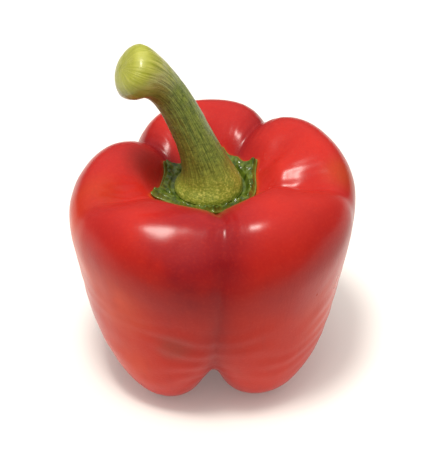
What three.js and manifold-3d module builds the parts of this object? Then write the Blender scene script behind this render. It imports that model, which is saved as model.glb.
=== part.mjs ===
// A red bell pepper as picked, standing upright on its feet.
// Three pieces: the lobed fruit, the green calyx bedded in the hollow of its shoulders, and the stem
// that rises from the calyx, leans to the left and ends in a swollen knob.
// Millimetres, +Z up. The surface that the pepper stands on is z = 0, the view is along +Y.

import * as THREE from 'three';
import { mergeVertices } from 'three/addons/utils/BufferGeometryUtils.js';
import Module from 'manifold-3d';

// Driving dimensions
const FRUIT_REACH = 43.2; // from the axis to the fullest part of a lobe
const CREST_HEIGHT = 70.5; // from the floor to the top of a lobe
const HOLLOW_HEIGHT = 57.5; // the floor of the stem hollow
const CALYX_THICKNESS = 2.2; // at its seat, under the stem
const CALYX_BODY = 13.7; // from the axis to the calyx edge between two tips
const TIP_WIDTH = 8; // degrees in which a tip falls away to the edge
const TIP_SOFT = 2; // degrees over which its point is rounded
const STEM_THICKNESS = 10; // across the stem at its waist
const SKIN_GAP = 0.3; // kept between two pieces that touch
const SEAT_REACH = 10.7; // radius of the calyx's flat seat, a little wider than the stem's foot
const RING_THICKNESS = 2.5; // of the calyx's fleshy ring round the seat, without its bumps
const BUMP_HEIGHT = 1.2;
const EDGE_THICKNESS = 0.7; // of the calyx at its edge
const RIB_SHARE = 0.03; // height of the stem's ribs as a share of its radius

// Detail of the meshes
const TURN_STEPS = 84; // round the fruit and the calyx
const FRUIT_STEPS = 46; // from the stem hollow down to the middle of the base
const CALYX_STEPS = 16; // from the middle of its seat over the edge to the middle of its underside
const STEM_SIDES = 28;
const STEM_STEPS = 36;

// The two outlines of the fruit, down the middle of a lobe and down a groove.
// Each is the control outline of a smooth curve, [share of FRUIT_REACH, share of CREST_HEIGHT],
// from the stem hollow over the shoulder, down the side and under the foot.
const LOBE_OUTLINE = [
  [0, 0.816], [0.14, 0.816], [0.265, 0.825], [0.385, 0.875], [0.482, 0.997], [0.695, 1.028],
  [0.881, 1.018], [1.06, 0.848], [0.98, 0.651], [0.922, 0.437], [0.88, 0.25], [0.815, 0.07],
  [0.595, -0.049], [0.35, -0.007], [0.16, 0.07], [0, 0.1],
];
const GROOVE_OUTLINE = [
  [0, 0.816], [0.14, 0.816], [0.255, 0.82], [0.35, 0.85], [0.465, 0.883], [0.625, 0.895],
  [0.8, 0.852], [0.912, 0.753], [0.928, 0.61], [0.878, 0.44], [0.745, 0.29], [0.545, 0.185],
  [0.395, 0.128], [0.255, 0.114], [0.14, 0.106], [0, 0.1],
];

// The grooves: where they run, in degrees from +X, how wide and how soft their bottom is in degrees,
// how deep they are at the shoulder, down the side and under the foot, and how many degrees they drift
// on the way down
const GROOVES = [
  { at: -82.3, width: 16.7, soft: 2.5, shoulder: 0.29, side: 0.66, foot: 0.93, drift: -5 },
  { at: -13.2, width: 13.1, soft: 3.5, shoulder: 1.06, side: 0.19, foot: 0.44, drift: 0 },
  { at: 57.4, width: 10.5, soft: 2, shoulder: 0.52, side: 0.85, foot: 0.9, drift: 2 },
  { at: 134.4, width: 12.3, soft: 2.5, shoulder: 0.63, side: 1.08, foot: 0.9, drift: 3 },
  { at: 203.9, width: 15.9, soft: 4, shoulder: 0.89, side: 0.14, foot: 0.76, drift: 0 },
];

// Folds that run out of the hollow and fade in the crowns: in the right lobe, in the back lobe behind
// the stem, and at the front tip of the calyx
const FOLDS = [
  { at: 22, width: 8.1, soft: 5, depth: 0.55 },
  { at: 99, width: 12, soft: 6, depth: 0.95 },
  { at: -84, width: 5, soft: 1.5, depth: 0.28 },
];

// The five lobes between them: how far each one reaches out, how high its shoulder is
// and how much its foot is lifted. The fruit stands on three feet, and the other two just clear the floor.
const LOBES = [
  { at: -45, reach: 0.996, height: 0.989, foot: -0.6 },
  { at: 42.7, reach: 0.96, height: 1.013, foot: 3.5 },
  { at: 98.4, reach: 0.949, height: 0.973, foot: 0 },
  { at: 154, reach: 0.899, height: 0.941, foot: 2.2 },
  { at: 236.8, reach: 0.982, height: 0.969, foot: -2.6 },
];

// Tips of the calyx: where they point and how far they reach from the axis
const TIPS = [
  { at: -85.5, reach: 17.7 },
  { at: -37, reach: 15 },
  { at: 32, reach: 16.6 },
  { at: 57, reach: 15 },
  { at: 76, reach: 16.6 },
  { at: 142, reach: 16.7 },
  { at: 200, reach: 17.6 },
];

// The stem's line: [x, y, height over the calyx, share of the waist's radius]
const STEM_LINE = [
  [0, -0.3, 0, 1.98], [0, -0.3, 1.8, 1.96], [-0.3, -0.4, 4.7, 1.56], [-1.2, -0.5, 8.9, 1.3],
  [-3.2, -0.4, 14.4, 1.12], [-5.9, -0.2, 20.9, 1.05], [-8.7, -0.2, 27.2, 1.01], [-11.7, -0.7, 32.5, 0.98],
  [-15, -2, 36.7, 1.13], [-18, -3.5, 39, 1.45], [-20.1, -4.4, 40.1, 1.6], [-21.8, -4.9, 41, 1.45],
  [-23, -5.2, 41.6, 1.1], [-23.6, -5.4, 41.95, 0.62], [-23.75, -5.45, 42.05, 0.12],
];

// Stretches of the way from the stem hollow (0) down to the middle of the base (1)
const HOLLOW_END = 0.36; // the hollow lies within this
const FOLD_FADING = [0.24, 0.36];
const SHOULDER_TO_SIDE = [0.305, 0.463];
const SIDE_TO_FOOT = [0.6, 0.8];
const DRIFTING = [0.3, 0.8];

const radians = THREE.MathUtils.degToRad;
const smoothstep = THREE.MathUtils.smoothstep;

// A point of a uniform cubic B-spline that starts and ends on its end points
function splinePoint(points, share) {
  const last = points.length - 1;
  const beyond = (end, next) => end.map((value, i) => 2 * value - next[i]);
  const at = (i) => {
    if (i < 0) return beyond(points[0], points[1]);
    if (i > last) return beyond(points[last], points[last - 1]);
    return points[i];
  };
  const place = share * last;
  const first = Math.min(Math.floor(place), last - 1);
  const f = place - first;
  const weights = [(1 - f) ** 3, 3 * f ** 3 - 6 * f ** 2 + 4, -3 * f ** 3 + 3 * f ** 2 + 3 * f + 1, f ** 3];
  return points[0].map((_, axis) => weights.reduce((sum, w, i) => sum + w * at(first - 1 + i)[axis], 0) / 6);
}

// How far apart two directions are, in degrees, from -180 to 180
function apart(turn, other) {
  return THREE.MathUtils.euclideanModulo(turn - other + 180, 360) - 180;
}

// A cusp with a rounded bottom: 1 in the middle of a groove or tip, falling away on both sides
function cusp(distance, width, soft) {
  return Math.exp((soft - Math.hypot(distance, soft)) / width);
}

// How deep the grooves and folds are in this direction at this share of the way down
function grooveDepth(turn, way) {
  const toSide = smoothstep(way, ...SHOULDER_TO_SIDE);
  const toFoot = smoothstep(way, ...SIDE_TO_FOOT);
  const drifted = smoothstep(way, ...DRIFTING);
  const unfaded = 1 - smoothstep(way, ...FOLD_FADING);
  const grooves = GROOVES.map((g) => {
    const here = g.shoulder + (g.side - g.shoulder) * toSide + (g.foot - g.side) * toFoot;
    return here * cusp(apart(turn, g.at + g.drift * drifted), g.width, g.soft);
  });
  const folds = FOLDS.map((f) => f.depth * unfaded * cusp(apart(turn, f.at), f.width, f.soft));
  return Math.min([...grooves, ...folds].reduce((sum, depth) => sum + depth, 0), 1.1);
}

// A value of the lobes, blended smoothly from one lobe's middle to the next
function lobeValue(turn, key) {
  for (let i = 0; i < LOBES.length; i++) {
    const from = LOBES[i];
    const to = LOBES[(i + 1) % LOBES.length];
    const span = THREE.MathUtils.euclideanModulo(to.at - from.at, 360);
    const past = THREE.MathUtils.euclideanModulo(turn - from.at, 360);
    const blend = smoothstep(past / span, 0, 1);
    if (past <= span) return from[key] + (to[key] - from[key]) * blend;
  }
  return LOBES[0][key];
}

// The fruit's surface: [radius, height] in a direction, at a share of the way from the hollow to the base
function fruitOutline(turn, way) {
  const lobe = splinePoint(LOBE_OUTLINE, way);
  const groove = splinePoint(GROOVE_OUTLINE, way);
  const depth = grooveDepth(turn, way);
  const radius = (lobe[0] + (groove[0] - lobe[0]) * depth) * FRUIT_REACH;
  const height = (lobe[1] + (groove[1] - lobe[1]) * depth) * CREST_HEIGHT;
  const outward = radius / FRUIT_REACH; // the lobes differ most at their outside
  const reach = 1 + (lobeValue(turn, 'reach') - 1) * outward;
  const tall = 1 + (lobeValue(turn, 'height') - 1) * outward;
  const raised = lobeValue(turn, 'foot') * smoothstep(way, ...SIDE_TO_FOOT) * outward;
  return [radius * reach, height * tall + raised];
}

// The height of the stem hollow at a distance from the axis
function hollowHeight(turn, radius) {
  let inner = 0;
  let outer = HOLLOW_END;
  for (let i = 0; i < 30; i++) {
    const middle = (inner + outer) / 2;
    if (fruitOutline(turn, middle)[0] < radius) inner = middle;
    else outer = middle;
  }
  return fruitOutline(turn, inner)[1];
}

// A closed surface laid out as a sphere is: place(turn in degrees, way from pole to pole) gives each point
function closedSurface(turns, ways, place) {
  const geometry = new THREE.SphereGeometry(1, turns, ways);
  const position = geometry.attributes.position;
  for (let row = 0; row <= ways; row++) {
    for (let column = 0; column <= turns; column++) {
      const turn = column === turns ? 0 : (360 * column) / turns;
      position.setXYZ(row * (turns + 1) + column, ...place(turn, row / ways));
    }
  }
  geometry.deleteAttribute('normal');
  geometry.deleteAttribute('uv');
  return mergeVertices(geometry, 1e-4);
}

function polar(turn, radius, height) {
  return [radius * Math.cos(radians(turn)), radius * Math.sin(radians(turn)), height];
}

function makeFruit() {
  return closedSurface(TURN_STEPS, FRUIT_STEPS, (turn, way) => polar(turn, ...fruitOutline(turn, way)));
}

// The calyx edge: a rounded body with a short pointed tip over each groove
function calyxReach(turn) {
  const beyond = TIPS.map((tip) => (tip.reach - CALYX_BODY) * cusp(apart(turn, tip.at), TIP_WIDTH, TIP_SOFT));
  return beyond.reduce((sum, value) => sum + value, CALYX_BODY);
}

// The small bumps of the calyx's fleshy ring, from 0 to 1
function bump(turn, radius) {
  const wave = Math.sin(radians(9 * turn) + 1.2 * radius) * Math.cos(radians(14 * turn) - 0.9 * radius + 2);
  return 0.5 + 0.5 * wave;
}

// The calyx's upper side over the fruit: a flat seat for the stem, then a bumpy ring, then a thin edge
function calyxTop(turn, radius, reach) {
  const seat = HOLLOW_HEIGHT + SKIN_GAP + CALYX_THICKNESS;
  const ring = smoothstep(radius, SEAT_REACH, SEAT_REACH + 1);
  const edge = smoothstep(radius, reach - 1.5, reach);
  const thickness = (RING_THICKNESS + BUMP_HEIGHT * bump(turn, radius)) * (1 - edge) + EDGE_THICKNESS * edge;
  const onFruit = hollowHeight(turn, radius) + SKIN_GAP + thickness;
  return seat + (onFruit - seat) * ring;
}

// The calyx: one step across the seat, most steps over the ring to the edge, the rest back underneath
function makeCalyx() {
  const seatEnd = 1 / CALYX_STEPS;
  const rim = 0.75; // share of the way at which the upper side ends at the edge
  return closedSurface(TURN_STEPS, CALYX_STEPS, (turn, way) => {
    const reach = calyxReach(turn);
    if (way > rim) {
      const radius = (reach * (1 - way)) / (1 - rim);
      return polar(turn, radius, hollowHeight(turn, radius) + SKIN_GAP);
    }
    const radius =
      way < seatEnd
        ? (SEAT_REACH * way) / seatEnd
        : SEAT_REACH + ((reach - SEAT_REACH) * (way - seatEnd)) / (rim - seatEnd);
    return polar(turn, radius, calyxTop(turn, radius, reach));
  });
}

// The stem: rings of a lightly ribbed section along its line, closed by a flat foot and a domed end
function makeStem() {
  const foot = HOLLOW_HEIGHT + CALYX_THICKNESS + 2 * SKIN_GAP;
  const line = (share) => splinePoint(STEM_LINE, share);
  const centre = (point) => new THREE.Vector3(point[0], point[1], foot + point[2]);
  return closedSurface(STEM_SIDES, STEM_STEPS, (turn, way) => {
    const ring = Math.round(way * STEM_STEPS);
    if (ring === 0) return centre(line(0)).toArray(); // the middle of the foot
    if (ring === STEM_STEPS) return centre(line(1)).toArray(); // the middle of the end
    const share = (ring - 1) / (STEM_STEPS - 2);
    const point = line(share);
    const ahead = centre(line(Math.min(share + 0.01, 1)));
    const behind = centre(line(Math.max(share - 0.01, 0)));
    const along = ahead.sub(behind).normalize();
    const side = new THREE.Vector3(0, 1, 0).cross(along).normalize();
    const across = new THREE.Vector3().crossVectors(side, along);
    const ribs = Math.cos(radians(5 * turn + 40)) + 0.5 * Math.cos(radians(8 * turn));
    const radius = (STEM_THICKNESS / 2) * point[3] * (1 + RIB_SHARE * ribs);
    const offset = side.multiplyScalar(radius * Math.cos(radians(turn)));
    offset.addScaledVector(across, radius * Math.sin(radians(turn)));
    return centre(point).add(offset).toArray();
  });
}

const wasm = await Module();
wasm.setup();

function toSolid(geometry) {
  const vertProperties = new Float32Array(geometry.attributes.position.array);
  const triVerts = new Uint32Array(geometry.index.array);
  return new wasm.Manifold(new wasm.Mesh({ numProp: 3, vertProperties, triVerts }));
}

function toGeometry(solid) {
  const mesh = solid.getMesh();
  const geometry = new THREE.BufferGeometry();
  geometry.setAttribute('position', new THREE.BufferAttribute(mesh.vertProperties, 3));
  geometry.setIndex(new THREE.BufferAttribute(mesh.triVerts, 1));
  geometry.computeVertexNormals();
  return geometry;
}

// The feet are pressed flat where they meet the surface
function pressFeet(fruit) {
  const slab = new THREE.BoxGeometry(4 * FRUIT_REACH, 4 * FRUIT_REACH, FRUIT_REACH);
  slab.translate(0, 0, -FRUIT_REACH / 2);
  slab.deleteAttribute('normal');
  slab.deleteAttribute('uv');
  return toGeometry(toSolid(fruit).subtract(toSolid(mergeVertices(slab))));
}

function piece(name, geometry, color, roughness) {
  const mesh = new THREE.Mesh(geometry, new THREE.MeshStandardMaterial({ color, roughness, metalness: 0 }));
  mesh.name = name;
  return mesh;
}

const pepper = new THREE.Group();
pepper.add(piece('fruit', pressFeet(makeFruit()), '#c22c20', 0.25));
pepper.add(piece('calyx', makeCalyx(), '#4b5d20', 0.4));
pepper.add(piece('stem', makeStem(), '#80863a', 0.55));

// The origin is under the middle of the whole pepper
const middle = new THREE.Box3().setFromObject(pepper).getCenter(new THREE.Vector3());
pepper.position.set(-middle.x, -middle.y, 0);

export default pepper;
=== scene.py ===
# %% [markdown]
# # A red bell pepper
#
# This lesson dresses a bell pepper that was first modelled as three plain solids: the lobed fruit, the
# green calyx in the hollow of its shoulders and the stem. Each solid is replaced by a finer piece of
# the same form, and gets the surface of the real one: taut waxy skin, a moist warty calyx, a ribbed
# fibrous stem. The model is in metres, +Z up, and the camera looks along +Y.

# %% Load the solids
import math

import bpy
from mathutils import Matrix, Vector, noise


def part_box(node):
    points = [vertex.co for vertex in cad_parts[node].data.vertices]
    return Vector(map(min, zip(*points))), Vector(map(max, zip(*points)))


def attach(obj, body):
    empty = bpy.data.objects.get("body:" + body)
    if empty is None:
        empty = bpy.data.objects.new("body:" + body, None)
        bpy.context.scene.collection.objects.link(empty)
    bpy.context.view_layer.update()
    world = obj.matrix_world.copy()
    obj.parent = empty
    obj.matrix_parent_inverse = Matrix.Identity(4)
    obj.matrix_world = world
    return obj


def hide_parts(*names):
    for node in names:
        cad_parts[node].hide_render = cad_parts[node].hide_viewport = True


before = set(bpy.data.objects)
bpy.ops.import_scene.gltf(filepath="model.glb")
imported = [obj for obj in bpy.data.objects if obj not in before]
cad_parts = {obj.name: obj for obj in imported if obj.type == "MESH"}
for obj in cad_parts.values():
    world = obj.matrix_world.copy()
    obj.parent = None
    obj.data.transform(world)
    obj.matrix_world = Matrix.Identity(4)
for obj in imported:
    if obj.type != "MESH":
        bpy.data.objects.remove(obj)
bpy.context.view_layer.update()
MM = 0.001
print("nodes:", sorted(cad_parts))


# %% [markdown]
# ## Colours and nodes
#
# Colours are written as sRGB hex values, the way a paint program shows them. Blender's shaders reckon
# in linear light, so one function turns a hex value into linear red, green and blue. A second one
# adds a shader node, sets it up and joins its inputs, so that a material reads like a list.

# %% Two helpers for materials
def colour(hex_value):
    shares = [int(hex_value[place:place + 2], 16) / 255 for place in (1, 3, 5)]
    linear = [s / 12.92 if s <= 0.04045 else ((s + 0.055) / 1.055) ** 2.4 for s in shares]
    return (*linear, 1)


def add(tree, kind, links=None, **settings):
    """Adds a node. A setting named after an input sets that input, any other sets the node itself."""
    node = tree.nodes.new(kind)
    for name, value in settings.items():
        if not name.startswith("in_"):
            setattr(node, name, value)
    for name, value in settings.items():
        if name.startswith("in_"):
            key = name[3:].replace("_", " ")
            node.inputs[int(key) if key.isdigit() else key].default_value = value
    for key, output in (links or {}).items():
        tree.links.new(output, node.inputs[key])
    return node


def new_material(name):
    material = bpy.data.materials.new(name)
    material.use_nodes = True
    material.node_tree.nodes.clear()
    return material, material.node_tree


def finish_material(tree, shader):
    add(tree, "ShaderNodeOutputMaterial", {"Surface": shader.outputs["BSDF"]})


# %% [markdown]
# ## The camera
#
# The pepper was photographed from the front and well above it, from about half a metre away with a
# long lens. The camera is placed by that angle and distance from a point inside the fruit. The lens is
# worked out from how many pixels of the 450-pixel-high frame one unit of slope covers.

# %% Place the camera
IMAGE_HEIGHT = 450
SENSOR = 36.0
LOOK_DOWN = math.radians(34.9)
DISTANCE = 480 * MM
PIXELS_PER_SLOPE = 1640
look_at = Vector((-0.65, 0, 46.6)) * MM

camera_data = bpy.data.cameras.new("camera")
camera_data.sensor_width = SENSOR
camera_data.lens = SENSOR * PIXELS_PER_SLOPE / IMAGE_HEIGHT
camera_data.clip_start = 0.01
camera = bpy.data.objects.new("camera", camera_data)
camera.location = look_at + DISTANCE * Vector((0, -math.cos(LOOK_DOWN), math.sin(LOOK_DOWN)))
camera.rotation_euler = (math.pi / 2 - LOOK_DOWN, 0, 0)
bpy.context.scene.collection.objects.link(camera)
bpy.context.scene.camera = camera
print("lens, mm:", round(camera_data.lens, 1))


# %% [markdown]
# ## Smooth curves and blends
#
# The solids were laid out by formulas: smooth curves through a few control points for the outline down
# a lobe, down a groove and along the stem. The finer pieces use the same formulas with more steps, so
# they keep the same form. A B-spline is pulled towards its control points without touching them, which
# gives the soft bends of something that grew.

# %% Curve and blend helpers
def spline_point(points, share):
    """A point of a uniform cubic B-spline that starts and ends on its end points."""
    last = len(points) - 1

    def at(index):
        if index < 0:
            return [2 * a - b for a, b in zip(points[0], points[1])]
        if index > last:
            return [2 * a - b for a, b in zip(points[last], points[last - 1])]
        return points[index]

    place = share * last
    first = min(int(place), last - 1)
    f = place - first
    weights = ((1 - f) ** 3, 3 * f ** 3 - 6 * f ** 2 + 4, -3 * f ** 3 + 3 * f ** 2 + 3 * f + 1, f ** 3)
    near = [at(first - 1 + i) for i in range(4)]
    return [sum(w * point[axis] for w, point in zip(weights, near)) / 6 for axis in range(len(points[0]))]


def smoothstep(value, start, end):
    share = min(max((value - start) / (end - start), 0), 1)
    return share * share * (3 - 2 * share)


def apart(turn, other):
    """How far apart two directions are, in degrees, from -180 to 180."""
    return (turn - other + 180) % 360 - 180


def cusp(distance, width, soft):
    """1 in the middle of a groove or tip, with a rounded bottom, falling away on both sides."""
    return math.exp((soft - math.hypot(distance, soft)) / width)


# %% [markdown]
# ## The form of the fruit
#
# A bell pepper is a ring of swollen lobes with grooves between them. Two outlines describe it, one down
# the middle of a lobe and one down a groove, and every direction round the fruit takes its outline from
# between the two. Sculpting by hand would give a similar shape, but a formula can be repeated exactly
# and stays in register with the solid that a physics program uses.

# %% The fruit's outlines, lobes and grooves
FRUIT_REACH = 43.2  # mm, from the axis to the fullest part of a lobe
CREST_HEIGHT = 70.5  # mm, from the floor to the top of a lobe
HOLLOW_HEIGHT = 57.5  # mm, the floor of the stem hollow
LOBE_OUTLINE = [
    (0, 0.816), (0.14, 0.816), (0.265, 0.825), (0.385, 0.875), (0.482, 0.997), (0.695, 1.028),
    (0.881, 1.018), (1.06, 0.848), (0.98, 0.651), (0.922, 0.437), (0.88, 0.25), (0.815, 0.07),
    (0.595, -0.049), (0.35, -0.007), (0.16, 0.07), (0, 0.1),
]
GROOVE_OUTLINE = [
    (0, 0.816), (0.14, 0.816), (0.255, 0.82), (0.35, 0.85), (0.465, 0.883), (0.625, 0.895),
    (0.8, 0.852), (0.912, 0.753), (0.928, 0.61), (0.878, 0.44), (0.745, 0.29), (0.545, 0.185),
    (0.395, 0.128), (0.255, 0.114), (0.14, 0.106), (0, 0.1),
]
# Direction, width and softness in degrees; depth at the shoulder, side and foot; drift in degrees
GROOVES = [
    (-82.3, 16.7, 2.5, 0.29, 0.66, 0.93, -5),
    (-13.2, 13.1, 3.5, 1.06, 0.19, 0.44, 0),
    (57.4, 10.5, 2, 0.52, 0.85, 0.9, 2),
    (134.4, 12.3, 2.5, 0.63, 1.08, 0.9, 3),
    (203.9, 15.9, 4, 0.89, 0.14, 0.76, 0),
]
# Direction in degrees, reach, height, and how much the foot is lifted in mm
LOBES = [
    (-45, 0.996, 0.989, -0.6),
    (42.7, 0.96, 1.013, 3.5),
    (98.4, 0.949, 0.973, 0),
    (154, 0.899, 0.941, 2.2),
    (236.8, 0.982, 0.969, -2.6),
]
# Folds from the hollow into the crowns: direction, width and softness in degrees, and depth
FOLDS = [
    (22, 8.1, 5, 0.55),
    (99, 12, 6, 0.95),
    (-84, 5, 1.5, 0.28),
]
FOLD_FADING = (0.24, 0.36)
SHOULDER_TO_SIDE = (0.305, 0.463)
SIDE_TO_FOOT = (0.6, 0.8)
DRIFTING = (0.3, 0.8)
outline_cache = {}


def outlines_at(way):
    if way not in outline_cache:
        outline_cache[way] = (spline_point(LOBE_OUTLINE, way), spline_point(GROOVE_OUTLINE, way))
    return outline_cache[way]


def groove_depth(turn, way):
    to_side = smoothstep(way, *SHOULDER_TO_SIDE)
    to_foot = smoothstep(way, *SIDE_TO_FOOT)
    drifted = smoothstep(way, *DRIFTING)
    unfaded = 1 - smoothstep(way, *FOLD_FADING)
    depth = sum(deep * unfaded * cusp(apart(turn, at), width, soft) for at, width, soft, deep in FOLDS)
    for at, width, soft, shoulder, side, foot, drift in GROOVES:
        here = shoulder + (side - shoulder) * to_side + (foot - side) * to_foot
        depth += here * cusp(apart(turn, at + drift * drifted), width, soft)
    return min(depth, 1.1)


def lobe_values(turn):
    """Reach, height and lift of the foot, blended smoothly from one lobe's middle to the next."""
    for i, start in enumerate(LOBES):
        end = LOBES[(i + 1) % len(LOBES)]
        span = (end[0] - start[0]) % 360
        past = (turn - start[0]) % 360
        if past <= span:
            blend = smoothstep(past / span, 0, 1)
            return [a + (b - a) * blend for a, b in zip(start[1:], end[1:])]
    return LOBES[0][1:]


def fruit_outline(turn, way):
    """Radius and height in mm, in a direction, at a share of the way from the hollow to the base."""
    lobe, groove = outlines_at(way)
    depth = groove_depth(turn, way)
    radius = (lobe[0] + (groove[0] - lobe[0]) * depth) * FRUIT_REACH
    height = (lobe[1] + (groove[1] - lobe[1]) * depth) * CREST_HEIGHT
    outward = radius / FRUIT_REACH
    reach, tall, lift = lobe_values(turn)
    radius *= 1 + (reach - 1) * outward
    height *= 1 + (tall - 1) * outward
    return radius, height + lift * smoothstep(way, *SIDE_TO_FOOT) * outward


# The solids are centred on their common box, so the pieces are moved by the same amount
fruit_low, fruit_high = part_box("fruit")
PIECES_SHIFT = Vector((-1.19, -0.02, 0)) * MM
print("fruit solid, mm:", [round(v / MM, 1) for v in (*fruit_low, *fruit_high)])


# %% [markdown]
# ## Laying a sphere over a form
#
# A UV sphere already has what these closed forms need: one pole at the top, one below, and even rings
# between them. Its longitude says in which direction a vertex looks, and its latitude how far down the
# way from pole to pole it lies. Moving each vertex to its place on the form keeps the mesh closed and
# its faces turned outwards.

# %% A sphere laid over a form
def lay_sphere(name, segments, rings, place):
    bpy.ops.object.select_all(action="DESELECT")
    bpy.ops.mesh.primitive_uv_sphere_add(segments=segments, ring_count=rings, radius=1)
    piece = bpy.context.object
    piece.name = name
    piece.data.name = name
    for vertex in piece.data.vertices:
        x, y, z = vertex.co
        way = math.acos(min(max(z, -1), 1)) / math.pi
        vertex.co = place(math.degrees(math.atan2(y, x)), round(way, 6))
    bpy.ops.object.shade_smooth()
    piece.data.update()
    return piece


def polar(turn, radius, height):
    """A point in metres from a direction in degrees and two lengths in mm, with the pieces' shift."""
    around = math.radians(turn)
    return PIECES_SHIFT + Vector((radius * math.cos(around), radius * math.sin(around), height)) * MM


def report(piece):
    size = [round(value / MM, 1) for value in piece.dimensions]
    print(piece.name, "size in mm:", size, "faces:", len(piece.data.polygons))


# %% [markdown]
# ## The fruit
#
# The skin is laid over the formula's form with about 0.8 mm between vertices, close enough for the
# folds to run smoothly. A helper turns a vertex's place back into the formula's terms: millimetres from
# the fruit's axis, and a direction round it.

# %% Lay the fruit's skin
FRUIT_SEGMENTS = 320
FRUIT_RINGS = 200
fruit_skin = lay_sphere(
    "fruit_skin", FRUIT_SEGMENTS, FRUIT_RINGS, lambda turn, way: polar(turn, *fruit_outline(turn, way)))
report(fruit_skin)


def from_axis(vertex):
    """A vertex's place in mm from the fruit's axis, and its direction in degrees."""
    point = (vertex.co - PIECES_SHIFT) / MM
    return point, math.degrees(math.atan2(point.y, point.x))


# %% [markdown]
# Next comes what the plain solid leaves out. The skin of something grown is slowly uneven, it has fine
# pleats that run from the calyx's corners over the shoulders, and shallow level ripples low on its
# sides. These are real moves of the surface, each less than half a millimetre high, because they bend
# the reflections. The whole skin also lies slightly lower, so that it stays inside the solid's box.

# %% Waves, pleats and ripples
WAVES = ((15, 0.28), (5.5, 0.07))  # length and height in mm
SKIN_SINK = 0.15  # mm, by which the whole skin lies lower
PLEAT_DIRECTIONS = (-15, 202, -83, 58, 134)
PLEAT_WIDTH = 9  # degrees, on each side of a pleat's direction
PLEAT_HEIGHT = 0.09
RIPPLE_HEIGHT = 0.22


def waves(point):
    return sum(height * noise.noise(point / length) for length, height in WAVES) - SKIN_SINK


def pleats(point, turn, radius):
    near_groove = max(cusp(apart(turn, at), PLEAT_WIDTH, 3) for at in PLEAT_DIRECTIONS)
    on_shoulder = smoothstep(point.z, 50, 58) * (1 - smoothstep(radius, 30, 38))
    return PLEAT_HEIGHT * near_groove * on_shoulder * math.sin(turn * 1.15 + 5 * noise.noise(point / 9))


def ripples(point):
    low = smoothstep(point.z, 10, 20) * (1 - smoothstep(point.z, 30, 44))
    strength = 0.4 + 0.9 * noise.noise(point / 17 + Vector((9, 0, 0)))
    return RIPPLE_HEIGHT * low * math.sin(point.z * 0.95 + 7 * noise.noise(point / 22)) * strength


# %% [markdown]
# At the bottom of a deep groove the two walls meet in a narrow crease. The crowns have slight swellings
# and dents, which decide where each highlight lies and how wide it is. Each is a soft round hill or
# hollow in the formula, less than a millimetre high.

# %% Creases, swellings and dents
DRIFT_TOP = 70  # mm, the height from which the grooves drift sideways on their way down
DRIFT_HEIGHT = 55
DEEP_SIDE = 0.5  # a groove deeper than this at the side has a crease
CREASE_WIDTH = 4  # degrees
CREASE_DEPTH = 0.9  # mm
CREASE_TOP = (54, 62)  # mm, between which the creases fade
# Place, width and height in mm
SWELLINGS = [
    (Vector((-20.5, -32.5, 67)), 13, 0.86),
    (Vector((-15, -34, 69.5)), 5, -0.83),
    (Vector((-7.5, -36.5, 66)), 6.5, -0.87),
    (Vector((-1.5, -35.5, 69)), 8, -0.84),
    (Vector((14, -32, 68)), 7, 0.25),
    (Vector((25, -3.5, 65.5)), 6, -0.9),
    (Vector((15.5, -12, 64)), 13, 0.9),
    (Vector((27, 2, 70.5)), 8.5, -0.9),
    (Vector((30.5, -18, 61.5)), 13.5, 0.5),
]


def to_groove(turn, height, groove):
    """How far a direction is from the middle of a groove at a height, in degrees."""
    return apart(turn, groove[0] + groove[6] * smoothstep(DRIFT_TOP - height, 0, DRIFT_HEIGHT))


def crease(point, turn):
    distance = min(abs(to_groove(turn, point.z, groove)) for groove in GROOVES if groove[4] > DEEP_SIDE)
    return -CREASE_DEPTH * cusp(distance, CREASE_WIDTH, 0.8) * (1 - smoothstep(point.z, *CREASE_TOP))


def swelling(point):
    return sum(raised * math.exp(-(point - centre).length_squared / width ** 2)
               for centre, width, raised in SWELLINGS)


# %% [markdown]
# All these moves are added up, and each vertex goes that far along its normal. They fade out under the
# calyx and at the feet, where the skin has to keep its place. The feet are pressed flat on the floor.

# %% Move the skin
UPPER_PART = 50  # mm, the height over which the calyx is the nearer neighbour
CALYX_CLEAR = (18, 23)  # mm from the axis, between which the moves set in
FOOT_CLEAR = (1, 8)  # mm over the floor, between which the moves set in


def skin_move(point, turn):
    """How far the skin moves outwards at a point given in mm from the fruit's axis, in mm."""
    radius = math.hypot(point.x, point.y)
    if point.z > UPPER_PART:
        loose = smoothstep(radius, *CALYX_CLEAR)
    else:
        loose = smoothstep(point.z, *FOOT_CLEAR)
    moves = waves(point) + pleats(point, turn, radius) + ripples(point)
    return loose * (moves + crease(point, turn) + swelling(point))


normals = [vertex.normal.copy() for vertex in fruit_skin.data.vertices]
for vertex, normal in zip(fruit_skin.data.vertices, normals):
    vertex.co += normal * skin_move(*from_axis(vertex)) * MM
    vertex.co.z = max(vertex.co.z, 0)
fruit_skin.data.update()
report(fruit_skin)

# %% [markdown]
# The skin is painted darker in the grooves, partly its own deeper crimson and partly painted shade
# where the walls meet. The mesh stores how near each vertex is to the bottom of a groove, because only
# the formula knows where the grooves run.

# %% Mark the grooves for their tint and painted shade
GROOVE_TINT_AND_SHADE_WIDTH = 7  # degrees
groove_tint_and_shade_marks = fruit_skin.data.attributes.new("in_groove", "FLOAT", "POINT")
for vertex, mark in zip(fruit_skin.data.vertices, groove_tint_and_shade_marks.data):
    point, turn = from_axis(vertex)
    mark.value = max(groove[4] * cusp(to_groove(turn, point.z, groove), GROOVE_TINT_AND_SHADE_WIDTH, 1.5)
                     for groove in GROOVES)
print("deepest mark:", round(max(mark.value for mark in groove_tint_and_shade_marks.data), 2))


# %% [markdown]
# ## The calyx
#
# The calyx is the collar of leafy flesh that held the flower. It lies in the stem hollow with a short
# point over each groove. Round the stem it is a thick ring, covered in shiny warts about 1.5 mm across,
# and it thins to a fine edge. The sphere is laid over it from the flat seat under the stem, out over
# the ring to the edge, and back underneath along the fruit. The warts are made by a cell pattern: each
# cell rises to a rounded top, and the furrows between cells stay low.

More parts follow.
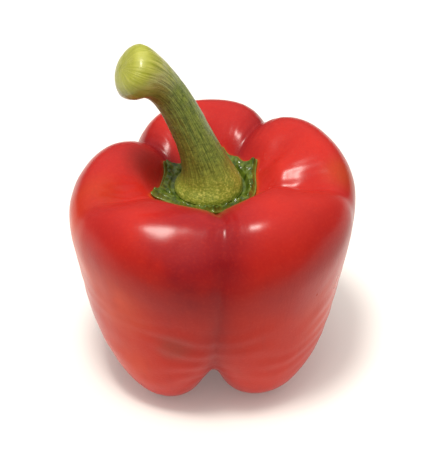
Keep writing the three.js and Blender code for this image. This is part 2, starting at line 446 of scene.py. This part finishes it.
# %% The calyx's measures
SKIN_GAP = 0.3  # mm between two pieces that touch
CALYX_THICKNESS = 2.2  # mm, at the seat
CALYX_BODY = 13.7  # mm, from the axis to the edge between two tips
TIP_WIDTH = 8
TIP_SOFT = 2
SEAT_REACH = 10.7
RING_THICKNESS = 2.5
BUMP_HEIGHT = 1.2
EDGE_THICKNESS = 0.7
TIPS = [(-85.5, 17.7), (-37, 15), (32, 16.6), (57, 15), (76, 16.6), (142, 16.7), (200, 17.6)]
WART_SIZE = 1.7
CALYX_SEGMENTS = 300
CALYX_RINGS = 90
SEAT_END = 0.08  # share of the way at which the seat ends and the ring begins
RIM = 0.75  # share of the way at which the upper side ends at the edge
HOLLOW_STEPS = 60
HOLLOW_END = 0.36
hollow_cache = {}


def hollow_height(turn, radius):
    """The height of the stem hollow's surface at a distance from the axis."""
    key = round(turn, 3)
    if key not in hollow_cache:
        ways = [HOLLOW_END * step / HOLLOW_STEPS for step in range(HOLLOW_STEPS + 1)]
        hollow_cache[key] = [fruit_outline(turn, way) for way in ways]
    outline = hollow_cache[key]
    for inner, outer in zip(outline, outline[1:]):
        if outer[0] >= radius:
            share = (radius - inner[0]) / (outer[0] - inner[0])
            return inner[1] + share * (outer[1] - inner[1])
    return outline[-1][1]


def calyx_reach(turn):
    return CALYX_BODY + sum((reach - CALYX_BODY) * cusp(apart(turn, at), TIP_WIDTH, TIP_SOFT)
                            for at, reach in TIPS)


def wart(turn, radius):
    """From 0 in a furrow to 1 on top of a wart."""
    around = math.radians(turn)
    place = Vector((radius * math.cos(around), radius * math.sin(around), 0)) / WART_SIZE
    place += 0.35 * noise.noise_vector(place * 0.8)
    nearest = noise.voronoi(place)[0][0]
    large = 0.5 + 0.5 * noise.noise(place * 0.45)
    return (1 - smoothstep(nearest, 0.05, 0.75)) * (0.35 + 0.65 * large)


def calyx_top(turn, radius, reach):
    seat = HOLLOW_HEIGHT + SKIN_GAP + CALYX_THICKNESS
    ring = smoothstep(radius, SEAT_REACH, SEAT_REACH + 1)
    edge = smoothstep(radius, reach - 1.5, reach)
    thickness = (RING_THICKNESS + BUMP_HEIGHT * wart(turn, radius)) * (1 - edge) + EDGE_THICKNESS * edge
    on_fruit = hollow_height(turn, radius) + SKIN_GAP + thickness
    return seat + (on_fruit - seat) * ring


def calyx_place(turn, way):
    reach = calyx_reach(turn)
    if way > RIM:
        radius = reach * (1 - way) / (1 - RIM)
        return polar(turn, radius, hollow_height(turn, radius) + SKIN_GAP)
    if way < SEAT_END:
        radius = SEAT_REACH * way / SEAT_END
    else:
        radius = SEAT_REACH + (reach - SEAT_REACH) * (way - SEAT_END) / (RIM - SEAT_END)
    return polar(turn, radius, calyx_top(turn, radius, reach))


# %% Lay the calyx
calyx_collar = lay_sphere("calyx_collar", CALYX_SEGMENTS, CALYX_RINGS, calyx_place)
report(calyx_collar)

# %% [markdown]
# The calyx's edge is paler than the rest, and the skin of the fruit is yellow-orange in a thin line
# along it, where the calyx shaded it while it ripened. Each mesh stores how near a vertex is to that
# edge as an attribute of its own, and the materials read it.

# %% Mark the calyx edge on both meshes
EDGE_BAND = 1.1  # mm


def mark_edge(piece, upper_only):
    marks = piece.data.attributes.new("calyx_edge", "FLOAT", "POINT")
    for vertex, mark in zip(piece.data.vertices, marks.data):
        point, turn = from_axis(vertex)
        distance = math.hypot(point.x, point.y) - calyx_reach(turn)
        near = 1 - smoothstep(abs(distance), 0.1, EDGE_BAND)
        mark.value = near if point.z > 50 or not upper_only else 0


mark_edge(fruit_skin, True)
mark_edge(calyx_collar, False)
print("edge marked within", EDGE_BAND, "mm")


# %% [markdown]
# ## The stem
#
# The stem flares where it leaves the calyx, leans over, and ends in a swollen knob where it was cut
# from the plant. A curve with a round bevel follows such a shape well: every point has its place and
# its own radius. Converted to a mesh, its rings stay in order, so each vertex knows its ring and its
# place round the ring. That gives a straightened map of the stem, and fibres drawn on this map run
# along the bend as the real ones do.

# %% The stem's line as a bevelled curve
STEM_THICKNESS = 10  # mm, across the waist
STEM_FOOT = HOLLOW_HEIGHT + CALYX_THICKNESS + 2 * SKIN_GAP
STEM_SIDES = 128
STEM_RINGS = 300
# x, y, height over the calyx in mm, and the radius as a share of the waist's radius
STEM_LINE = [
    (0, -0.3, 0, 1.98), (0, -0.3, 1.8, 1.96), (-0.3, -0.4, 4.7, 1.56), (-1.2, -0.5, 8.9, 1.3),
    (-3.2, -0.4, 14.4, 1.12), (-5.9, -0.2, 20.9, 1.05), (-8.7, -0.2, 27.2, 1.01),
    (-11.7, -0.7, 32.5, 0.98), (-15, -2, 36.7, 1.13), (-18, -3.5, 39, 1.45), (-20.1, -4.4, 40.1, 1.6),
    (-21.8, -4.9, 41, 1.45), (-23, -5.2, 41.6, 1.1), (-23.6, -5.4, 41.95, 0.62),
    (-23.75, -5.45, 42.05, 0.12),
]

bpy.ops.object.select_all(action="DESELECT")
bpy.ops.curve.primitive_bezier_circle_add(radius=STEM_THICKNESS / 2 * MM)
stem_round = bpy.context.object
stem_round.data.resolution_u = STEM_SIDES // 4

line_data = bpy.data.curves.new("stem_shaft", "CURVE")
line_data.dimensions = "3D"
line_data.twist_mode = "MINIMUM"
line_data.bevel_mode = "OBJECT"
line_data.bevel_object = stem_round
line = line_data.splines.new("POLY")
line.points.add(STEM_RINGS - 1)
for step, point in enumerate(line.points):
    x, y, z, share = spline_point(STEM_LINE, step / (STEM_RINGS - 1))
    point.co = (*(PIECES_SHIFT + Vector((x, y, STEM_FOOT + z)) * MM), 1)
    point.radius = share
stem_shaft = bpy.data.objects.new("stem_shaft", line_data)
bpy.context.scene.collection.objects.link(stem_shaft)
stem_shaft.select_set(True)
stem_round.select_set(False)
bpy.context.view_layer.objects.active = stem_shaft
bpy.ops.object.convert(target="MESH")
stem_shaft = bpy.context.object
bpy.data.objects.remove(stem_round)
report(stem_shaft)
print("vertices round each ring:", len(stem_shaft.data.vertices) / STEM_RINGS)

# %% Straighten the stem on a map, and raise its fibres
FIBRE_WIDTH = 0.55  # mm
straight = stem_shaft.data.attributes.new("straightened", "FLOAT_VECTOR", "POINT")
centres = [spline_point(STEM_LINE, step / (STEM_RINGS - 1)) for step in range(STEM_RINGS)]
lengths = [0.0]
for a, b in zip(centres, centres[1:]):
    lengths.append(lengths[-1] + math.dist(a[:3], b[:3]))
normals = [vertex.normal.copy() for vertex in stem_shaft.data.vertices]
for index, vertex in enumerate(stem_shaft.data.vertices):
    ring, place = divmod(index, STEM_SIDES)
    around = 2 * math.pi * place / STEM_SIDES
    on_map = Vector((math.cos(around), math.sin(around), 0)) * STEM_THICKNESS / 2
    on_map.z = lengths[ring]
    straight.data[index].vector = on_map
    shaft = smoothstep(lengths[ring], 3, 9)
    face = smoothstep(lengths[ring], lengths[-1] - 5, lengths[-1] - 1)
    ribs = noise.noise(Vector((on_map.x, on_map.y, on_map.z * 0.05)) / 1.5)
    fibres = noise.noise(Vector((on_map.x, on_map.y, on_map.z * 0.04)) / FIBRE_WIDTH)
    move = (0.13 * ribs + 0.08 * fibres) * shaft * (1 - 0.8 * face)
    move += 0.1 * noise.noise(vertex.co / MM / 2.5)
    vertex.co += normals[index] * move * MM if ring > 2 else Vector()
print("stem length along its line, mm:", round(lengths[-1], 1))

# %% Close the stem's two ends
bpy.ops.object.mode_set(mode="EDIT")
bpy.ops.mesh.select_all(action="DESELECT")
bpy.ops.mesh.select_mode(type="EDGE")
bpy.ops.mesh.select_non_manifold()
bpy.ops.mesh.fill_holes(sides=0)
bpy.ops.mesh.select_all(action="SELECT")
bpy.ops.mesh.normals_make_consistent(inside=False)
bpy.ops.object.mode_set(mode="OBJECT")
bpy.ops.object.shade_smooth()
report(stem_shaft)


# %% [markdown]
# ## Skin of a ripe pepper
#
# Ripe skin is a thin clear wax over deep red flesh that lets a little light in. The red is never even:
# it drifts between crimson and orange-red over a few centimetres, with faint lengthwise streaks, and
# an olive or orange blotch is left where it ripened last. Lower down and on the left the red is painted
# lighter and more orange, as painted light, and the front shoulders are painted deep crimson, as
# painted shade. The wax gives a clear coat over a softer sheen. Very fine pits, about half a millimetre
# apart, break the edge of each highlight into grains.

# %% Pepper skin
skin, tree = new_material("waxy_pepper_skin")
place = add(tree, "ShaderNodeTexCoord").outputs["Object"]
drift = add(tree, "ShaderNodeTexNoise", {"Vector": place}, in_Scale=1 / 0.03, in_Detail=3, in_Roughness=0.5)
height = add(tree, "ShaderNodeSeparateXYZ", {"Vector": place}).outputs["Z"]
# Painted light from the floor: the red turns lighter and more orange towards the bottom
painted_floor_light = add(tree, "ShaderNodeMapRange", {"Value": height}, interpolation_type="SMOOTHSTEP",
                in_From_Min=66 * MM, in_From_Max=28 * MM, in_To_Min=-0.2, in_To_Max=0.25)
ripeness_and_painted_light = add(tree, "ShaderNodeMath", {0: drift.outputs["Fac"], 1: painted_floor_light.outputs["Result"]},
               operation="ADD")
red = add(tree, "ShaderNodeValToRGB", {"Fac": ripeness_and_painted_light.outputs["Value"]})
red.color_ramp.elements[0].position = 0.25
red.color_ramp.elements[0].color = colour("#a8221f")
red.color_ramp.elements[1].position = 0.75
red.color_ramp.elements[1].color = colour("#c42915")

lengthwise = add(tree, "ShaderNodeMapping", {"Vector": place}, in_Scale=(1, 1, 0.12))
streaks = add(tree, "ShaderNodeTexNoise", {"Vector": lengthwise.outputs["Vector"]},
              in_Scale=1 / 0.0022, in_Detail=2, in_Roughness=0.6)
streak_share = add(tree, "ShaderNodeMapRange", {"Value": streaks.outputs["Fac"]},
                   in_From_Min=0.5, in_From_Max=0.8, in_To_Max=0.12)
skin_colour = add(tree, "ShaderNodeMixRGB",
                  {"Fac": streak_share.outputs["Result"], "Color1": red.outputs["Color"]},
                  in_Color2=colour("#7e1010"))

# Blotches of the fruit's own colour, painted shade and painted light: where, how wide in mm, how strong
# and of what colour
BLOTCHES_AND_PAINTED_LIGHT_AND_SHADE = [
    # Painted shade: deep crimson on the front shoulders
    ((-6, -37, 58), 21, 1.5, "#80191f"),
    ((27, -24, 62), 18, 0.7, "#9a1f1b"),
    ((-2, -29, 67), 20, 1.4, "#8c1a1f"),
    # The fruit's own olive, orange and brown patches
    ((-33, -9, 64), 10, 0.35, "#b8520f"),
    ((37, 0, 63), 9, 0.8, "#9c4a10"),
    ((-11, -38, 30), 8, 0.7, "#8a4030"),
    # Painted light: lighter orange-red on the left and lower sides
    ((-41, -12, 46), 20, 1.5, "#e8501f"),
    ((-28, -31, 41), 17, 1.1, "#e04a1a"),
    ((-25, -27, 20), 15, 0.7, "#dc4a1c"),
    ((34, -20, 34), 19, 0.9, "#d8431f"),
]
for centre, width, strength, hue in BLOTCHES_AND_PAINTED_LIGHT_AND_SHADE:
    away = add(tree, "ShaderNodeVectorMath", {0: place}, operation="DISTANCE",
               in_1=tuple(value * MM for value in centre))
    inside = add(tree, "ShaderNodeMapRange", {"Value": away.outputs["Value"]},
                 interpolation_type="SMOOTHSTEP",
                 in_From_Min=width * MM, in_From_Max=0.2 * width * MM, in_To_Max=strength)
    cloudy = add(tree, "ShaderNodeTexNoise", {"Vector": place}, in_Scale=1 / 0.009, in_Detail=2)
    share = add(tree, "ShaderNodeMath", {0: inside.outputs["Result"], 1: cloudy.outputs["Fac"]},
                operation="MULTIPLY")
    skin_colour = add(tree, "ShaderNodeMixRGB",
                      {"Fac": share.outputs["Value"], "Color1": skin_colour.outputs["Color"]},
                      in_Color2=colour(hue))

# Painted shade, with some of the skin's own crimson: darker towards the bottom of each groove
groove_tint_and_shade_node = add(tree, "ShaderNodeAttribute", attribute_name="in_groove")
groove_tint_and_shade_share = add(tree, "ShaderNodeMath", {0: groove_tint_and_shade_node.outputs["Fac"]}, operation="MULTIPLY", in_1=0.95)
skin_colour = add(tree, "ShaderNodeMixRGB",
                  {"Fac": groove_tint_and_shade_share.outputs["Value"], "Color1": skin_colour.outputs["Color"]},
                  in_Color2=colour("#7e1016"))
flecks = add(tree, "ShaderNodeTexNoise", {"Vector": place}, in_Scale=1 / 0.0009, in_Detail=2)
fleck_share = add(tree, "ShaderNodeMapRange", {"Value": flecks.outputs["Fac"]},
                  in_From_Min=0.5, in_From_Max=0.75, in_To_Max=0.08)
skin_colour = add(tree, "ShaderNodeMixRGB",
                  {"Fac": fleck_share.outputs["Result"], "Color1": skin_colour.outputs["Color"]},
                  in_Color2=colour("#e0482a"))

beside_calyx = add(tree, "ShaderNodeAttribute", attribute_name="calyx_edge")
rim_share = add(tree, "ShaderNodeMath", {0: beside_calyx.outputs["Fac"]}, operation="MULTIPLY", in_1=0.3)
skin_colour = add(tree, "ShaderNodeMixRGB",
                  {"Fac": rim_share.outputs["Value"], "Color1": skin_colour.outputs["Color"]},
                  in_Color2=colour("#c8701a"))

pits = add(tree, "ShaderNodeTexNoise", {"Vector": place}, in_Scale=1 / 0.0006, in_Detail=2)
dimples = add(tree, "ShaderNodeBump", {"Height": pits.outputs["Fac"]},
              in_Strength=0.7, in_Distance=0.07 * MM)
fine_lines = add(tree, "ShaderNodeBump",
                 {"Height": streaks.outputs["Fac"], "Normal": dimples.outputs["Normal"]},
                 in_Strength=0.3, in_Distance=0.06 * MM)
sheen_patches = add(tree, "ShaderNodeMapRange", {"Value": drift.outputs["Fac"]},
                    in_From_Min=0.3, in_From_Max=0.7, in_To_Min=0.27, in_To_Max=0.35)
shader = add(tree, "ShaderNodeBsdfPrincipled", {
    "Base Color": skin_colour.outputs["Color"],
    "Roughness": sheen_patches.outputs["Result"],
    "Normal": fine_lines.outputs["Normal"],
}, in_IOR=1.36, in_Specular_IOR_Level=0.1, in_Coat_Weight=0.38, in_Coat_Roughness=0.2, in_Coat_IOR=1.36,
    in_Subsurface_Weight=0.12, in_Subsurface_Radius=(1.0, 0.25, 0.15), in_Subsurface_Scale=1.5 * MM)
finish_material(tree, shader)
fruit_skin.data.materials.append(skin)
print("skin blotches:", len(BLOTCHES_AND_PAINTED_LIGHT_AND_SHADE))


# %% [markdown]
# ## Flesh of the calyx
#
# The calyx is leaf flesh, dark green and moist, so it shines on every wart. Its green is mottled paler
# and darker in patches about as wide as a wart, and the thin edge lets light through and looks
# yellow-green.

# %% Calyx flesh
flesh, tree = new_material("moist_calyx_flesh")
place = add(tree, "ShaderNodeTexCoord").outputs["Object"]
cells = add(tree, "ShaderNodeTexNoise", {"Vector": place}, in_Scale=1 / 0.0016, in_Detail=3)
green = add(tree, "ShaderNodeValToRGB", {"Fac": cells.outputs["Fac"]})
green.color_ramp.elements[0].position = 0.35
green.color_ramp.elements[0].color = colour("#2e4108")
green.color_ramp.elements[1].position = 0.7
green.color_ramp.elements[1].color = colour("#5f7020")
edge = add(tree, "ShaderNodeAttribute", attribute_name="calyx_edge")
edge_share = add(tree, "ShaderNodeMath", {0: edge.outputs["Fac"]}, operation="MULTIPLY", in_1=0.55)
green_edge = add(tree, "ShaderNodeMixRGB",
                 {"Fac": edge_share.outputs["Value"], "Color1": green.outputs["Color"]},
                 in_Color2=colour("#6f7a2c"))
grain = add(tree, "ShaderNodeTexNoise", {"Vector": place}, in_Scale=1 / 0.0005, in_Detail=2)
flesh_bump = add(tree, "ShaderNodeBump", {"Height": grain.outputs["Fac"]},
                 in_Strength=0.5, in_Distance=0.1 * MM)
shader = add(tree, "ShaderNodeBsdfPrincipled", {
    "Base Color": green_edge.outputs["Color"],
    "Normal": flesh_bump.outputs["Normal"],
}, in_Roughness=0.4, in_IOR=1.4, in_Specular_IOR_Level=0.2, in_Coat_Weight=0.5, in_Coat_Roughness=0.07)
finish_material(tree, shader)
calyx_collar.data.materials.append(flesh)
print("calyx flesh done")


# %% [markdown]
# ## Fibres of the stem
#
# The stem is bundles of fibres under a dull, dry skin: olive green with paler and darker lines along
# it. Its flare is speckled with yellow dots, and the knob, which had no leaf to shade it, is yellow
# and dried brown underneath. The lines read the straightened map, so they follow the bend. The
# speckles and the yellow of the knob come in along the map's length.

# %% Stem fibres
KNOB_UNDERSIDE = (-21, -6, 93)  # mm
fibre, tree = new_material("fibrous_stem_skin")
on_map = add(tree, "ShaderNodeAttribute", attribute_name="straightened").outputs["Vector"]
stretched = add(tree, "ShaderNodeMapping", {"Vector": on_map}, in_Scale=(1, 1, 0.05))
lines = add(tree, "ShaderNodeTexNoise", {"Vector": stretched.outputs["Vector"]},
            in_Scale=3.4, in_Detail=5, in_Roughness=0.7)
olive = add(tree, "ShaderNodeValToRGB", {"Fac": lines.outputs["Fac"]})
olive.color_ramp.elements[0].position = 0.36
olive.color_ramp.elements[0].color = colour("#405515")
olive.color_ramp.elements[1].position = 0.64
olive.color_ramp.elements[1].color = colour("#939f42")
crossed = add(tree, "ShaderNodeMapping", {"Vector": on_map}, in_Scale=(0.55, 0.55, 0.9))
mottles = add(tree, "ShaderNodeTexNoise", {"Vector": crossed.outputs["Vector"]},
              in_Scale=1.5, in_Detail=4, in_Roughness=0.7)
mottle_share = add(tree, "ShaderNodeMapRange", {"Value": mottles.outputs["Fac"]},
                   in_From_Min=0.45, in_From_Max=0.65, in_To_Max=0.7)
olive = add(tree, "ShaderNodeMixRGB",
            {"Fac": mottle_share.outputs["Result"], "Color1": olive.outputs["Color"]},
            in_Color2=colour("#3a4c17"))

along = add(tree, "ShaderNodeSeparateXYZ", {"Vector": on_map}).outputs["Z"]
STEM_LENGTH = lengths[-1]
to_knob = add(tree, "ShaderNodeMapRange", {"Value": along}, interpolation_type="SMOOTHSTEP",
              in_From_Min=STEM_LENGTH - 17, in_From_Max=STEM_LENGTH - 5)
knob_share = add(tree, "ShaderNodeMath", {0: to_knob.outputs["Result"]}, operation="MULTIPLY", in_1=0.9)
yellow = add(tree, "ShaderNodeValToRGB", {"Fac": lines.outputs["Fac"]})
yellow.color_ramp.elements[0].position = 0.36
yellow.color_ramp.elements[0].color = colour("#868c20")
yellow.color_ramp.elements[1].position = 0.66
yellow.color_ramp.elements[1].color = colour("#cfc96e")
to_tip = add(tree, "ShaderNodeMapRange", {"Value": along}, interpolation_type="SMOOTHSTEP",
             in_From_Min=STEM_LENGTH - 8, in_From_Max=STEM_LENGTH - 3, in_To_Max=0.65)
yellow = add(tree, "ShaderNodeMixRGB", {"Fac": to_tip.outputs["Result"], "Color1": yellow.outputs["Color"]},
             in_Color2=colour("#9ca028"))
stem_colour = add(tree, "ShaderNodeMixRGB", {
    "Fac": knob_share.outputs["Value"],
    "Color1": olive.outputs["Color"],
    "Color2": yellow.outputs["Color"],
})
to_flare = add(tree, "ShaderNodeMapRange", {"Value": along}, interpolation_type="SMOOTHSTEP",
               in_From_Min=11, in_From_Max=3)
flare_share = add(tree, "ShaderNodeMath", {0: to_flare.outputs["Result"]}, operation="MULTIPLY", in_1=0.7)
stem_colour = add(tree, "ShaderNodeMixRGB",
                  {"Fac": flare_share.outputs["Value"], "Color1": stem_colour.outputs["Color"]},
                  in_Color2=colour("#858e2a"))
dots = add(tree, "ShaderNodeTexNoise", {"Vector": on_map}, in_Scale=2.2, in_Detail=3, in_Roughness=0.6)
for start, end, hue in ((0.52, 0.66, "#bdb95c"), (0.48, 0.34, "#55651a")):
    dot_share = add(tree, "ShaderNodeMapRange", {"Value": dots.outputs["Fac"]},
                    in_From_Min=start, in_From_Max=end, in_To_Max=0.7)
    dotted = add(tree, "ShaderNodeMath", {0: dot_share.outputs["Result"], 1: to_flare.outputs["Result"]},
                 operation="MULTIPLY")
    stem_colour = add(tree, "ShaderNodeMixRGB",
                      {"Fac": dotted.outputs["Value"], "Color1": stem_colour.outputs["Color"]},
                      in_Color2=colour(hue))
place = add(tree, "ShaderNodeTexCoord").outputs["Object"]
underside = add(tree, "ShaderNodeVectorMath", {0: place}, operation="DISTANCE",
                in_1=tuple(value * MM for value in KNOB_UNDERSIDE))
brown_share = add(tree, "ShaderNodeMapRange", {"Value": underside.outputs["Value"]},
                  interpolation_type="SMOOTHSTEP",
                  in_From_Min=8 * MM, in_From_Max=2 * MM, in_To_Max=0.8)
stem_colour = add(tree, "ShaderNodeMixRGB",
                  {"Fac": brown_share.outputs["Result"], "Color1": stem_colour.outputs["Color"]},
                  in_Color2=colour("#6b4a22"))
stem_bump = add(tree, "ShaderNodeBump", {"Height": lines.outputs["Fac"]},
                in_Strength=0.9, in_Distance=0.25 * MM)
shader = add(tree, "ShaderNodeBsdfPrincipled", {
    "Base Color": stem_colour.outputs["Color"],
    "Normal": stem_bump.outputs["Normal"],
}, in_Roughness=0.38, in_IOR=1.45, in_Coat_Weight=0.35, in_Coat_Roughness=0.15)
finish_material(tree, shader)
stem_shaft.data.materials.append(fibre)
print("stem length on the map, mm:", round(STEM_LENGTH, 1))


# %% [markdown]
# ## Bodies
#
# The pepper has no moving parts, so everything rides on the one body. Each piece stands for the solid
# whose form it keeps, and that solid is hidden.

# %% Tie the pieces to the solids
for piece, node, finish in (
    (fruit_skin, "fruit", "pepper_skin"),
    (calyx_collar, "calyx", "calyx_green"),
    (stem_shaft, "stem", "stem_green"),
):
    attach(piece, "root")
    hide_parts(node)
    print(piece.name, "stands for", node)


# %% [markdown]
# ## Floor and light
#
# The pepper stands on a white surface that fills the picture. It glows a little by itself, so that the
# shadow stays pale. Two round lamps hang high, a little in front and to the left. The small one gives
# each lobe its clear highlight, and the wide one a soft glow round it. In front of the picture's edge
# the surface is painted grey, as painted shade where the lamps' light would fall off, because the waxy
# skin mirrors it, and pure white there would lie over the red like milk. The room gives soft light from
# above.

# %% Floor
floor_white, tree = new_material("matt_white_paper")
place = add(tree, "ShaderNodeTexCoord").outputs["Object"]
backwards = add(tree, "ShaderNodeSeparateXYZ", {"Vector": place}).outputs["Y"]
# Painted shade: the floor turns grey in front of the picture, where the lamps' light would fall off
shaded = add(tree, "ShaderNodeMapRange", {"Value": backwards}, interpolation_type="SMOOTHSTEP",
             in_From_Min=-0.06, in_From_Max=-0.15)
paper_with_painted_shade = add(tree, "ShaderNodeMixRGB", {"Fac": shaded.outputs["Result"]},
            in_Color1=colour("#e0deda"), in_Color2=colour("#85817e"))
shader = add(tree, "ShaderNodeBsdfPrincipled", {
    "Base Color": paper_with_painted_shade.outputs["Color"],
    "Emission Color": paper_with_painted_shade.outputs["Color"],
}, in_Roughness=0.9, in_Emission_Strength=0.2)
finish_material(tree, shader)
bpy.ops.object.select_all(action="DESELECT")
bpy.ops.mesh.primitive_plane_add(size=2.4)
floor = bpy.context.object
floor.name = "floor"
floor.data.materials.append(floor_white)

# %% Lamps
LAMP_DISTANCE = 0.9
LAMPS = [
    ("main_lamp", Vector((-0.1, -0.25, 0.96)), 0.18, 5.4),
    ("glow_lamp", Vector((-0.07, -0.24, 0.97)), 0.4, 3.2),
]
for name, direction, width, power in LAMPS:
    lamp_data = bpy.data.lights.new(name, "AREA")
    lamp_data.shape = "DISK"
    lamp_data.size = width
    lamp_data.energy = power
    lamp_data.color = colour("#fffaf2")[:3]
    lamp = bpy.data.objects.new(name, lamp_data)
    lamp.location = look_at + LAMP_DISTANCE * direction.normalized()
    lamp.rotation_euler = direction.to_track_quat("Z", "Y").to_euler()
    bpy.context.scene.collection.objects.link(lamp)
    print(name, "height over the floor, m:", round(lamp.location.z, 2))

# %% Room
room = bpy.data.worlds.new("room")
room.use_nodes = True
tree = room.node_tree
direction = add(tree, "ShaderNodeTexCoord").outputs["Generated"]
upwards = add(tree, "ShaderNodeSeparateXYZ", {"Vector": direction}).outputs["Z"]
glow = add(tree, "ShaderNodeMapRange", {"Value": upwards}, interpolation_type="SMOOTHSTEP",
           in_From_Min=0.1, in_From_Max=0.95, in_To_Min=0.15, in_To_Max=1.05)
tree.links.new(glow.outputs["Result"], tree.nodes["Background"].inputs["Strength"])
tree.nodes["Background"].inputs["Color"].default_value = colour("#fffaf5")
bpy.context.scene.world = room
bpy.context.scene.view_settings.view_transform = "Standard"
